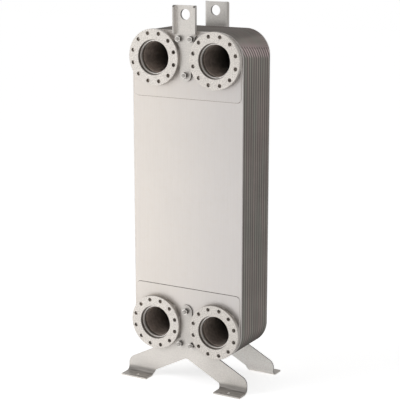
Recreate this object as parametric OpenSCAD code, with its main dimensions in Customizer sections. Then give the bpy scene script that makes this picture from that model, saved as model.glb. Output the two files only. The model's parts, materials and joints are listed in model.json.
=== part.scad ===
// Brazed plate heat exchanger standing on two folded sheet feet, with four flanged ports on the front.
// Frame: origin on the floor, under the middle of the body; +X to the right, +Y to the back, +Z up.
// Sizes are in millimetres.

/* [Body] */
// Width of the cover plates and of the plate pack
body_width = 409; // [320:1:520]
// Height of the cover plates and of the plate pack
body_height = 1073; // [860:1:1300]
// Radius of the four upright corners of the body
corner_radius = 86; // [40:1:110]
// Height of the body's lower edge above the floor
ground_clearance = 108.5; // [90:0.5:150]

/* [Plate pack] */
// Number of nested channel plates
plate_count = 62; // [20:1:90]
// Distance from one channel plate to the next
plate_pitch = 2.85; // [2:0.05:4]
// Depth of the groove between two nested skirts
skirt_groove = 1.8; // [0.6:0.1:2.5]
// Place of the skirt's crest along its pitch, 0 at the front and 1 at the back
skirt_lean = 0.72; // [0.3:0.01:0.9]
// Radial depth of a channel that opens into a port
channel_depth = 4; // [1:0.5:8]
// Share of two pitches that is open as a channel mouth
channel_open = 0.32; // [0.15:0.01:0.45]

/* [Cover plates] */
// Thickness of the front and rear cover plates
cover_thickness = 4; // [2:0.5:8]
// Thickness of the port reinforcement plates
reinforcement_thickness = 2; // [1:0.5:4]
// Height of a reinforcement plate
reinforcement_height = 211.5; // [180:0.5:260]
// Distance from a cover plate's edge to a reinforcement plate's edge
reinforcement_margin = 7; // [3:1:15]
// Radius of a reinforcement plate's two inner corners
reinforcement_corner = 14; // [4:1:30]

/* [Ports] */
// Outer diameter of a port tube
tube_od = 114.3; // [76.1:0.1:125]
// Wall thickness of a port tube
tube_wall = 5; // [3:0.5:8]
// Step from a tube's bore in to the ports of the channel plates
port_step = 1; // [0.5:0.5:5]
// Length of tube that reaches into a flange
tube_overlap = 2; // [1:0.5:8]

/* [Flanges] */
// Radial width of a flange from its bore to its edge
flange_land = 34.85; // [28:0.05:45]
// Distance from a flange's edge to the axes of its bolt holes
bolt_inset = 13; // [9:0.5:17]
// Thickness of a flange
flange_thickness = 13; // [10:0.5:24]
// Gap between a flange's back and the sheets behind it
flange_gap = 0.5; // [0.5:0.5:40]
// Number of bolt holes in a flange
bolt_count = 12; // [8:4:16]
// Diameter of a bolt hole
bolt_hole = 13; // [8:0.5:16]
// Chamfer on a flange's edges
flange_chamfer = 1; // [0.5:0.5:2]
// Distance from a flange's edge in to the side of the body
flange_side_margin = 0; // [-8:0.5:30]
// Distance from a flange's edge in to the top or bottom of the body
flange_end_margin = -3; // [-8:0.5:30]

/* [Lifting lugs] */
// Thickness of the lug sheet
lug_sheet = 8; // [4:0.5:12]
// Width over the two folded edges
lug_width = 84; // [66:1:110]
// Height of the lug's top edge above the top of the body
lug_rise = 80.5; // [60:0.5:120]
// Reach of a folded edge beyond the face of the sheet
lug_fold = 10; // [6:1:30]
// Inner radius of a lug's folds
lug_bend = 2; // [1:0.5:6]
// Gap between the folded edges' lower ends and the washers below them
lug_fold_gap = 3; // [0.5:0.5:20]
// Radius of the folded edges' outer top corners
lug_corner = 8; // [3:1:14]
// Diameter of the lifting hole
lug_hole = 35; // [20:1:40]
// Distance from the lug's top edge to the lifting hole's axis
lug_hole_drop = 28.5; // [22:0.5:40]

/* [Foot brackets] */
// Thickness of the foot sheet
foot_sheet = 5; // [4:0.5:8]
// Reach of the feet beyond the sides of the body
foot_overhang = 25; // [10:0.5:60]
// Width of a leg at its foot
foot_pad = 105.5; // [70:0.5:140]
// Width that the slant at a foot's inner end takes away
foot_relief = 7; // [1:0.5:15]
// Reach of a foot beyond the face of the sheet
foot_reach = 51; // [35:1:90]
// Inner radius of a foot's fold
foot_bend = 14; // [3:0.5:15]
// Height of the arch's apex above the floor
arch_height = 82.5; // [55:0.5:95]
// Radius of the arch at its apex
arch_round = 14; // [3:0.5:30]
// Height above the floor where a leg's lower edge meets its foot
leg_heel = 20; // [20:0.5:34]
// Height above the paired studs at which the legs' upper edges would meet
leg_cover = 33; // [28:0.5:45]
// Radius of a leg's outer corner
leg_corner = 30; // [8:1:40]
// Diameter of an anchor hole
anchor_hole = 14; // [9:0.5:18]
// Distance from the face of the sheet to an anchor hole's axis
anchor_reach = 31; // [26:0.5:40]

/* [Fasteners] */
// Width of the tongue that runs between two flanges
tongue_width = 42; // [36:1:60]
// Distance from the port axes to the tongue's stud, towards the middle of the body
inner_stud_offset = 52.5; // [40:0.5:80]
// Distance from the height of the flanges' far edges in to the paired studs
outer_stud_inset = 28.5; // [20:0.5:45]
// Distance between the paired studs
stud_spacing = 44; // [36:0.5:60]
// Diameter of a stud
stud_diameter = 12; // [8:1:16]
// Reach of a stud from the reinforcement plate
stud_reach = 24; // [22:0.5:34]
// Clearance of a stud in its hole
stud_clearance = 1; // [0.5:0.1:2]
// Width across the flats of a nut
nut_flats = 18; // [13:0.5:24]
// Height of a nut
nut_height = 10.8; // [6:0.1:14]
// Outer diameter of a washer
washer_od = 20; // [16:0.5:32]
// Thickness of a washer
washer_thickness = 2; // [1:0.5:4]

/* [Hidden] */
fine = 128;
medium = 64;
polygon_steps = 10;
through = 1;
body_middle = ground_clearance + body_height / 2;
pack_depth = plate_count * plate_pitch;
pack_face = pack_depth / 2;
cover_face = pack_face + cover_thickness;
panel_face = cover_face + reinforcement_thickness;
lug_face = panel_face + lug_sheet;
foot_face = panel_face + foot_sheet;
flange_od = tube_od + 2 * flange_land;
bolt_circle = flange_od - 2 * bolt_inset;
flange_back = max(lug_face, foot_face) + flange_gap;
flange_face = flange_back + flange_thickness;
tube_face = flange_back + tube_overlap;
tube_id = tube_od - 2 * tube_wall;
port_x = body_width / 2 - flange_od / 2 - flange_side_margin;
port_z = body_height / 2 - flange_od / 2 - flange_end_margin;
foot_tip = foot_face + foot_reach;
stud_half = stud_spacing / 2;
stud_hole = stud_diameter + stud_clearance;
outer_stud_offset = flange_od / 2 - outer_stud_inset;
tongue_half = tongue_width / 2;
upper_inner_stud = body_middle + port_z - inner_stud_offset;
upper_outer_stud = body_middle + port_z + outer_stud_offset;
lower_inner_stud = body_middle - port_z + inner_stud_offset;
lower_outer_stud = body_middle - port_z - outer_stud_offset;
lug_top = body_middle + body_height / 2 + lug_rise;
lug_half = lug_width / 2;
lug_fold_end = upper_outer_stud + washer_od / 2 + lug_fold_gap;
lug_fold_length = lug_top - lug_fold_end;
foot_half = body_width / 2 + foot_overhang;
foot_inner = foot_half - foot_pad;
leg_lean = 90 - tangent_angle([0, arch_height - arch_round], arch_round, [foot_inner, leg_heel]);
leg_slope = tan(leg_lean);
leg_top = lower_outer_stud + leg_cover;
leg_depth = leg_top - arch_height;
fold_height = foot_sheet + foot_bend;
nut_chamfer = 1.2;
stud_chamfer = 1;
lug_shoulder = 4;
lug_taper = 47;
relief = 3;
corner_land = 1;

// Places children at one port: sx is -1 for left, sz is 1 for upper.
module at_port(sx, sz) {
  translate([sx * port_x, 0, body_middle + sz * port_z])
    children();
}

// Turns a shape whose Z is the distance from the middle of the body so that it faces the front.
module facing_front() {
  rotate([90, 0, 0])
    children();
}

// Turns a shape drawn for the front of the body to the rear.
module to_rear() {
  mirror([0, 1, 0])
    children();
}

// Outline of the body: a rectangle with round corners, less margin all round.
module body_outline(margin) {
  w = body_width - 2 * margin;
  h = body_height - 2 * margin;
  r = corner_radius - margin;
  square([w, h - 2 * r], center = true);
  square([w - 2 * r, h], center = true);
  for (x = [-1, 1])
    for (z = [-1, 1])
      translate([x * (w / 2 - r), z * (h / 2 - r)])
        circle(r = r, $fn = fine);
}

// A flat plate from distance near to distance far in front of the middle of the body.
module front_slab(near, far) {
  facing_front()
    translate([0, body_middle, near])
      linear_extrude(height = far - near)
        children();
}

// ---- cover plates ----

module front_cover_plate() {
  color([0.84, 0.83, 0.81])
    difference() {
      front_slab(pack_face, cover_face)
        body_outline(0);
      for (x = [-1, 1])
        for (z = [-1, 1])
          at_port(x, z)
            facing_front()
              translate([0, 0, pack_face - through])
                cylinder(h = cover_thickness + 2 * through, d = tube_od, $fn = fine);
    }
}

module rear_cover_plate() {
  color([0.80, 0.79, 0.77])
    to_rear()
      front_slab(pack_face, cover_face)
        body_outline(0);
}

// ---- channel plate pack ----

// One tooth per nested skirt: [reach, distance] points along the pack, crest at reach edge.
function skirt_points(edge) = [
  for (i = [0 : plate_count - 1])
    each [
      [edge - skirt_groove, -pack_face + i * plate_pitch],
      [edge, -pack_face + (i + skirt_lean) * plate_pitch]
    ]
];

// The skirts' comb from a base line out to the edge.
module skirt_comb(base, edge) {
  polygon(concat(
    [[base, -pack_face]],
    skirt_points(edge),
    [[edge - skirt_groove, pack_face]],
    [[base, pack_face]]
  ));
}

// The skirts' comb on both sides of a middle line.
module skirt_comb_pair(edge) {
  right = concat(skirt_points(edge), [[edge - skirt_groove, pack_face]]);
  left = [for (i = [len(right) - 1 : -1 : 0]) [-right[i][0], right[i][1]]];
  polygon(concat(right, left));
}

// The nested skirts as one brazed block: middle band, two side bands, four turned corners.
module skirted_block() {
  straight_x = body_width - 2 * corner_radius;
  straight_z = body_height - 2 * corner_radius;
  translate([0, 0, body_middle]) {
    rotate([0, 90, 0])
      rotate([0, 0, 90])
        rotate([0, 0, -90])
          linear_extrude(height = straight_x, center = true)
            skirt_comb_pair(body_height / 2);
    for (s = [-1, 1])
      scale([s, 1, 1])
        linear_extrude(height = straight_z, center = true)
          skirt_comb(straight_x / 2, body_width / 2);
    for (x = [0, 1])
      for (z = [0, 1])
        mirror([x, 0, 0])
          mirror([0, 0, z])
            translate([straight_x / 2, 0, straight_z / 2])
              rotate([90, 0, 0])
                mirror([0, 0, 1])
                  rotate_extrude(angle = 90, $fn = fine)
                    skirt_comb(0, corner_radius);
  }
}

// A port's cavity: a bore through the whole pack, which the rear cover plate closes, with one channel
// mouth for every two plates.
module port_cavity() {
  r = tube_id / 2 - port_step;
  mouth = 2 * plate_pitch * channel_open;
  count = floor(pack_face / plate_pitch) - 1;
  steps = [
    for (i = [0 : count - 1])
      let (a = pack_face - (2 * i + 1) * plate_pitch)
        each [[r, a], [r + channel_depth, a], [r + channel_depth, a - mouth], [r, a - mouth]]
  ];
  rotate_extrude($fn = fine)
    polygon(concat(
      [[0, -pack_face - through]],
      [[0, pack_face + through]],
      [[r, pack_face + through]],
      steps,
      [[r, -pack_face - through]]
    ));
}

module channel_plate_pack() {
  color([0.42, 0.40, 0.38])
    difference() {
      skirted_block();
      for (x = [-1, 1])
        for (z = [-1, 1])
          at_port(x, z)
            facing_front()
              port_cavity();
    }
}

// ---- port reinforcement plates ----

// Outline of the upper reinforcement plate: the body's outline cut off below, with round inner corners.
module reinforcement_outline() {
  half = body_width / 2 - reinforcement_margin;
  top = body_height / 2 - reinforcement_margin;
  base = top - reinforcement_height;
  c = reinforcement_corner;
  r = corner_radius - reinforcement_margin;
  translate([-half, base + c])
    square([2 * half, reinforcement_height - c - r]);
  translate([-half + c, base])
    square([2 * (half - c), reinforcement_height - r]);
  translate([-half + r, base])
    square([2 * (half - r), reinforcement_height]);
  for (x = [-1, 1]) {
    translate([x * (half - c), base + c])
      circle(r = c, $fn = medium);
    translate([x * (half - r), top - r])
      circle(r = r, $fn = fine);
  }
}

module reinforcement_blank() {
  front_slab(cover_face, panel_face)
    reinforcement_outline();
}

module front_reinforcement(sz) {
  difference() {
    translate([0, 0, body_middle])
      scale([1, 1, sz])
        translate([0, 0, -body_middle])
          reinforcement_blank();
    for (x = [-1, 1])
      at_port(x, sz)
        facing_front()
          translate([0, 0, cover_face - through])
            cylinder(h = reinforcement_thickness + 2 * through, d = tube_od, $fn = fine);
  }
}

module front_upper_reinforcement_plate() {
  color([0.84, 0.82, 0.80])
    front_reinforcement(1);
}

module front_lower_reinforcement_plate() {
  color([0.84, 0.82, 0.80])
    front_reinforcement(-1);
}

module rear_upper_reinforcement_plate() {
  color([0.80, 0.79, 0.77])
    to_rear()
      reinforcement_blank();
}

module rear_lower_reinforcement_plate() {
  color([0.80, 0.79, 0.77])
    to_rear()
      translate([0, 0, 2 * body_middle])
        mirror([0, 0, 1])
          reinforcement_blank();
}

// ---- port tubes ----

module port_tube(sx, sz) {
  color([0.78, 0.77, 0.75])
    at_port(sx, sz)
      facing_front()
        translate([0, 0, pack_face])
          difference() {
            cylinder(h = tube_face - pack_face, d = tube_od, $fn = fine);
            translate([0, 0, -through])
              cylinder(h = tube_face - pack_face + 2 * through, d = tube_id, $fn = fine);
          }
}

module upper_left_port_tube() {
  port_tube(-1, 1);
}

module upper_right_port_tube() {
  port_tube(1, 1);
}

module lower_left_port_tube() {
  port_tube(-1, -1);
}

module lower_right_port_tube() {
  port_tube(1, -1);
}

// ---- flanges ----

module flange(sx, sz) {
  r_in = tube_od / 2;
  r_out = flange_od / 2;
  c = flange_chamfer;
  t = flange_thickness;
  color([0.82, 0.80, 0.78])
    at_port(sx, sz)
      facing_front()
        translate([0, 0, flange_back])
          difference() {
            rotate_extrude($fn = fine)
              polygon([
                [r_in, 0],
                [r_out - c, 0],
                [r_out, c],
                [r_out, t - c],
                [r_out - c, t],
                [r_in + c, t],
                [r_in, t - c]
              ]);
            for (i = [0 : bolt_count - 1])
              rotate([0, 0, (i + 0.5) * 360 / bolt_count])
                translate([bolt_circle / 2, 0, -through])
                  cylinder(h = t + 2 * through, d = bolt_hole, $fn = medium);
          }
}

module upper_left_flange() {
  flange(-1, 1);
}

module upper_right_flange() {
  flange(1, 1);
}

module lower_left_flange() {
  flange(-1, -1);
}

module lower_right_flange() {
  flange(1, -1);
}

// ---- lifting lugs ----

// The lug's flat blank in front view: wide top, tapering shoulders, tongue with a round end.
module lug_outline() {
  flat = lug_half - lug_sheet - lug_bend;
  shoulder = lug_half - lug_shoulder;
  translate([-flat, lug_fold_end])
    square([2 * flat, lug_fold_length]);
  polygon([
    [-shoulder, lug_fold_end],
    [-shoulder, lug_fold_end - relief],
    [-tongue_half, lug_fold_end - lug_taper],
    [-tongue_half, upper_inner_stud],
    [tongue_half, upper_inner_stud],
    [tongue_half, lug_fold_end - lug_taper],
    [shoulder, lug_fold_end - relief],
    [shoulder, lug_fold_end]
  ]);
  translate([0, upper_inner_stud])
    circle(r = tongue_half, $fn = medium);
}

// Plan of one folded edge: the quarter bend and the straight lip, as [x, distance] in front of the body.
module lug_fold_plan() {
  outer = lug_sheet + lug_bend;
  flat = lug_half - outer;
  translate([flat, panel_face + outer])
    intersection() {
      difference() {
        circle(r = outer, $fn = medium);
        circle(r = lug_bend, $fn = medium);
      }
      translate([0, -outer])
        square(outer);
    }
  translate([lug_half - lug_sheet, panel_face + outer])
    square([lug_sheet, lug_face + lug_fold - panel_face - outer]);
}

module lug_fold_edge() {
  tip = lug_face + lug_fold;
  difference() {
    translate([0, 0, lug_fold_end])
      mirror([0, 1, 0])
        linear_extrude(height = lug_fold_length)
          lug_fold_plan();
    translate([lug_half - lug_sheet - through, -tip, lug_top])
      rotate([0, 90, 0])
        lug_corner_cut(lug_sheet + 2 * through);
    translate([lug_half - lug_sheet - through, -tip, lug_fold_end])
      rotate([0, 90, 0])
        mirror([1, 0, 0])
          lug_corner_cut(lug_sheet + 2 * through);
  }
}

// What a round corner takes away: a square less a quarter disc.
module lug_corner_cut(length) {
  linear_extrude(height = length)
    difference() {
      translate([-through, -through])
        square(lug_corner + through);
      translate([lug_corner, lug_corner])
        circle(r = lug_corner, $fn = medium);
    }
}

module lug() {
  difference() {
    union() {
      facing_front()
        translate([0, 0, panel_face])
          linear_extrude(height = lug_sheet)
            lug_outline();
      for (x = [0, 1])
        mirror([x, 0, 0])
          lug_fold_edge();
    }
    facing_front()
      translate([0, lug_top - lug_hole_drop, panel_face - through])
        cylinder(h = lug_sheet + 2 * through, d = lug_hole, $fn = medium);
    facing_front()
      translate([0, 0, panel_face - through])
        stud_places(upper_inner_stud, upper_outer_stud)
          cylinder(h = lug_sheet + 2 * through, d = stud_hole, $fn = medium);
  }
}

module front_lifting_lug() {
  color([0.81, 0.80, 0.78])
    lug();
}

module rear_lifting_lug() {
  color([0.70, 0.69, 0.68])
    to_rear()
      lug();
}

// ---- foot brackets ----

// Angle at which the tangent from point p touches the upper side of a circle about c.
function tangent_angle(c, r, p) = atan2(p[1] - c[1], p[0] - c[0]) + acos(r / norm(p - c));

// Points of an arc from angle a to angle b about c.
function arc(c, r, a, b) = [
  for (i = [0 : polygon_steps])
    let (t = a + (b - a) * i / polygon_steps)
      [c[0] + r * cos(t), c[1] + r * sin(t)]
];

// One leg in front view, from the middle line to the foot's fold.
module leg_outline() {
  apex = [0, arch_height - arch_round];
  crown = leg_top - leg_slope * foot_half;
  turn = 90 - leg_lean;
  r = min(leg_corner, (crown - fold_height - corner_land) / tan(turn / 2));
  centre = [foot_half - r, crown - r * tan(turn / 2)];
  polygon(concat(
    arc(apex, arch_round, 90, turn),
    [[foot_inner, leg_heel]],
    [[foot_inner, fold_height]],
    [[foot_half, fold_height]],
    arc(centre, r, 0, turn),
    [[0, leg_top]]
  ));
}

module bracket_outline() {
  for (x = [0, 1])
    mirror([x, 0])
      leg_outline();
  translate([-tongue_half, arch_height + leg_depth / 2])
    square([tongue_width, lower_inner_stud - arch_height - leg_depth / 2]);
  translate([0, lower_inner_stud])
    circle(r = tongue_half, $fn = medium);
}

// Side view of a foot: the quarter bend and the flat pad, as [distance, height].
module foot_section() {
  outer = foot_sheet + foot_bend;
  translate([panel_face + outer, outer])
    intersection() {
      difference() {
        circle(r = outer, $fn = medium);
        circle(r = foot_bend, $fn = medium);
      }
      translate([-outer, -outer])
        square(outer);
    }
  translate([panel_face + outer, 0])
    square([foot_tip - panel_face - outer, foot_sheet]);
}

module foot() {
  translate([foot_inner, 0, 0])
    rotate([90, 0, 90])
      linear_extrude(height = foot_pad)
        mirror([1, 0])
          foot_section();
}

// What the slant at a foot's inner end takes away, from the leg's heel down to the pad.
module foot_slant() {
  near = foot_inner - through;
  far = foot_inner + foot_relief;
  facing_front()
    translate([0, 0, panel_face - through])
      linear_extrude(height = foot_tip - panel_face + 2 * through)
        polygon([
          [near, leg_heel],
          [foot_inner, leg_heel],
          [far, foot_sheet],
          [far, -through],
          [near, -through]
        ]);
}

module bracket() {
  difference() {
    union() {
      facing_front()
        translate([0, 0, panel_face])
          linear_extrude(height = foot_sheet)
            bracket_outline();
      for (x = [0, 1])
        mirror([x, 0, 0])
          foot();
    }
    facing_front()
      translate([0, 0, panel_face - through])
        stud_places(lower_inner_stud, lower_outer_stud)
          cylinder(h = foot_sheet + 2 * through, d = stud_hole, $fn = medium);
    for (x = [0, 1])
      mirror([x, 0, 0])
        foot_slant();
    for (x = [-1, 1])
      translate([x * (foot_inner + foot_pad / 2), -foot_face - anchor_reach, -through])
        cylinder(h = foot_sheet + 2 * through, d = anchor_hole, $fn = medium);
  }
}

module front_foot_bracket() {
  color([0.81, 0.80, 0.78])
    bracket();
}

module rear_foot_bracket() {
  color([0.74, 0.73, 0.71])
    to_rear()
      bracket();
}

// ---- studs, washers and nuts ----

// Three places in front view: one on the tongue and a pair towards the body's edge.
module stud_places(inner, outer) {
  translate([0, inner, 0])
    children();
  for (x = [-1, 1])
    translate([x * stud_half, outer, 0])
      children();
}

module stud() {
  r = stud_diameter / 2;
  rotate_extrude($fn = medium)
    polygon([
      [0, 0],
      [r, 0],
      [r, stud_reach - stud_chamfer],
      [r - stud_chamfer, stud_reach],
      [0, stud_reach]
    ]);
}

module washer() {
  difference() {
    cylinder(h = washer_thickness, d = washer_od, $fn = medium);
    translate([0, 0, -through])
      cylinder(h = washer_thickness + 2 * through, d = stud_hole, $fn = medium);
  }
}

// A hexagon nut with a corner up, chamfered on its outer face.
module nut() {
  across = nut_flats / cos(30);
  reach = across / 2 + through;
  difference() {
    intersection() {
      rotate([0, 0, 30])
        cylinder(h = nut_height, d = across, $fn = 6);
      rotate_extrude($fn = medium)
        polygon([
          [0, 0],
          [reach, 0],
          [reach, nut_height - nut_chamfer - through * tan(30)],
          [nut_flats / 2, nut_height],
          [0, nut_height]
        ]);
    }
    translate([0, 0, -through])
      cylinder(h = nut_height + 2 * through, d = stud_diameter, $fn = medium);
  }
}

// Three of a kind on one end of the front, at a distance in front of the middle of the body.
module fastener_set(distance, inner, outer) {
  color([0.72, 0.71, 0.69])
    facing_front()
      translate([0, 0, distance])
        stud_places(inner, outer)
          children();
}

module upper_studs() {
  fastener_set(panel_face, upper_inner_stud, upper_outer_stud)
    stud();
}

module lower_studs() {
  fastener_set(panel_face, lower_inner_stud, lower_outer_stud)
    stud();
}

module upper_washers() {
  fastener_set(lug_face, upper_inner_stud, upper_outer_stud)
    washer();
}

module lower_washers() {
  fastener_set(foot_face, lower_inner_stud, lower_outer_stud)
    washer();
}

module upper_nuts() {
  fastener_set(lug_face + washer_thickness, upper_inner_stud, upper_outer_stud)
    nut();
}

module lower_nuts() {
  fastener_set(foot_face + washer_thickness, lower_inner_stud, lower_outer_stud)
    nut();
}

module front_upper_studs() {
  upper_studs();
}

module front_lower_studs() {
  lower_studs();
}

module rear_upper_studs() {
  to_rear()
    upper_studs();
}

module rear_lower_studs() {
  to_rear()
    lower_studs();
}

module front_upper_washers() {
  upper_washers();
}

module front_lower_washers() {
  lower_washers();
}

module rear_upper_washers() {
  to_rear()
    upper_washers();
}

module rear_lower_washers() {
  to_rear()
    lower_washers();
}

module front_upper_nuts() {
  upper_nuts();
}

module front_lower_nuts() {
  lower_nuts();
}

module rear_upper_nuts() {
  to_rear()
    upper_nuts();
}

module rear_lower_nuts() {
  to_rear()
    lower_nuts();
}

front_cover_plate();
rear_cover_plate();
channel_plate_pack();
front_upper_reinforcement_plate();
front_lower_reinforcement_plate();
rear_upper_reinforcement_plate();
rear_lower_reinforcement_plate();
upper_left_port_tube();
upper_right_port_tube();
lower_left_port_tube();
lower_right_port_tube();
upper_left_flange();
upper_right_flange();
lower_left_flange();
lower_right_flange();
front_lifting_lug();
rear_lifting_lug();
front_foot_bracket();
rear_foot_bracket();
front_upper_studs();
front_lower_studs();
rear_upper_studs();
rear_lower_studs();
front_upper_washers();
front_lower_washers();
rear_upper_washers();
rear_lower_washers();
front_upper_nuts();
front_lower_nuts();
rear_upper_nuts();
rear_lower_nuts();
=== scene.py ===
"""Looks of a flanged brazed plate heat exchanger that stands on folded sheet feet."""
import functools
import json
import math

import bpy
import numpy as np
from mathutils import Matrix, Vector


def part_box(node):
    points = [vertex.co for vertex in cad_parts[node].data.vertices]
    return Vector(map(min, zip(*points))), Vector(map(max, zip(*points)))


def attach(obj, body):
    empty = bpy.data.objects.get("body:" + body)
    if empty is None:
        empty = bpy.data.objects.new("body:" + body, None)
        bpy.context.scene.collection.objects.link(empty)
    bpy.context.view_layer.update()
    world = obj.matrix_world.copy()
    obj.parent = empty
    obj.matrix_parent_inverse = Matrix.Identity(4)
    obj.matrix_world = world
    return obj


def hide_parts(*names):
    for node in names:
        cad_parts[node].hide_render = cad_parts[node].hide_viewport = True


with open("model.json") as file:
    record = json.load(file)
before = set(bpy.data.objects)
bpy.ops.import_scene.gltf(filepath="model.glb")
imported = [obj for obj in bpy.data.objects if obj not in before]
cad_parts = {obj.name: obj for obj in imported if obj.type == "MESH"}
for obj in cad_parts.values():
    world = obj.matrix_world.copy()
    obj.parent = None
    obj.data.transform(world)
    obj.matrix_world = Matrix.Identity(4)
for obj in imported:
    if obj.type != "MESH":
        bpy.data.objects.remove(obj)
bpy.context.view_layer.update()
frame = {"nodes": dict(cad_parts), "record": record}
nodes = frame["nodes"]

PORTS = ("upper_left", "upper_right", "lower_left", "lower_right")
BODY_ENDS = ("front_upper", "front_lower", "rear_upper", "rear_lower")


# ---------------------------------------------------------------- sizes taken from the frame

def middle(node):
    """Middle of a CAD node's box."""
    low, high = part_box(node)
    return (low + high) / 2


def half_width(node):
    """Half of a CAD node's width."""
    low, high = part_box(node)
    return (high.x - low.x) / 2


def mount(name):
    """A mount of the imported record."""
    return next(m for m in frame["record"]["mounts"] if m["name"] == name)


PACK_LOW, PACK_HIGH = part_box("channel_plate_pack")
BODY_LOW, BODY_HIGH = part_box("front_cover_plate")
BODY_MIDDLE = (BODY_LOW.z + BODY_HIGH.z) / 2
BODY_HALF_WIDTH = BODY_HIGH.x
BODY_HALF_HEIGHT = (BODY_HIGH.z - BODY_LOW.z) / 2
COVER_FACE = -BODY_LOW.y
REINFORCEMENT_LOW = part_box("front_upper_reinforcement_plate")[0]
PANEL_FACE = -REINFORCEMENT_LOW.y
REINFORCED_FROM = REINFORCEMENT_LOW.z - BODY_MIDDLE
FLANGE_RADIUS = half_width("upper_left_flange")
TUBE_RADIUS = half_width("upper_left_port_tube")
TUBE_END = -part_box("upper_left_port_tube")[0].y
BORE_RADIUS = mount("upper_left_port_bore")["dims"]["r_mm"] / 1000
BOLT_CIRCLE_RADIUS = mount("upper_left_flange_bolts")["dims"]["pcd_mm"] / 2000
BOLT_HOLE_RADIUS = mount("upper_left_flange_bolts")["dims"]["hole_r_mm"] / 1000
PORT_X = middle("upper_right_flange").x
PORT_Z = middle("upper_right_flange").z - BODY_MIDDLE
LUG_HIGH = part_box("front_lifting_lug")[1]
LUG_HALF_WIDTH = LUG_HIGH.x
LIFTING_HOLE = mount("front_lifting_hole")
LIFTING_HOLE_Z = LIFTING_HOLE["pos_m"][2]
LIFTING_HOLE_RADIUS = LIFTING_HOLE["dims"]["r_mm"] / 1000
LUG_SHEET = LIFTING_HOLE["dims"]["length_mm"] / 1000

# Sizes that the frame doesn't state.
CORNER_RADIUS = 0.086
REINFORCEMENT_CORNER = 0.014
FOLD_ABOVE_WASHERS = 0.003
LUG_FOLD_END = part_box("front_upper_washers")[1].z + FOLD_ABOVE_WASHERS
LIP_EDGE_FROM = PANEL_FACE + 0.016
FOOT_FOLD_FROM = 0.006
FOOT_FOLD_HEIGHT = 0.019
STUD_RADIUS = 0.006


# ---------------------------------------------------------------- camera

AZIMUTH, ELEVATION = math.radians(29.9), math.radians(12.84)
SENSOR_WIDTH, LENS, DISTANCE = 36, 116.0, 4.17
AIM_ASIDE, AIM_FORWARD, AIM_DOWN = 0.0617, 0.021, 0.0044

back = Vector((
    math.sin(AZIMUTH) * math.cos(ELEVATION),
    -math.cos(AZIMUTH) * math.cos(ELEVATION),
    math.sin(ELEVATION),
))
look_at = Vector((AIM_ASIDE, -PANEL_FACE - AIM_FORWARD, BODY_MIDDLE - AIM_DOWN))
camera = bpy.data.objects.new("camera", bpy.data.cameras.new("camera"))
bpy.context.scene.collection.objects.link(camera)
camera.data.sensor_width = SENSOR_WIDTH
camera.data.lens = LENS
camera.location = look_at + back * DISTANCE
camera.rotation_mode = "QUATERNION"
camera.rotation_quaternion = (-back).to_track_quat("-Z", "Y")
camera.data.clip_start, camera.data.clip_end = 0.1, 100
bpy.context.scene.camera = camera


# ---------------------------------------------------------------- shader shorthand

# How far from the body's middle one half's look gives way to the other's: up and down, and aside.
HALVES_MEET = 0.1
SIDES_MEET = 0.02

# A Mix node's sockets for colours and for vectors.
COLOUR_IN, COLOUR_OUT = (6, 7), 2
VECTOR_IN, VECTOR_OUT = (4, 5), 1


def display(r, g, b):
    """A colour as shown on a screen, 0-255, turned into linear light by the sRGB curve."""
    c = np.array([r, g, b]) / 255
    return (*np.where(c <= 0.04045, c / 12.92, ((c + 0.055) / 1.055) ** 2.4).tolist(), 1.0)


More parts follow.
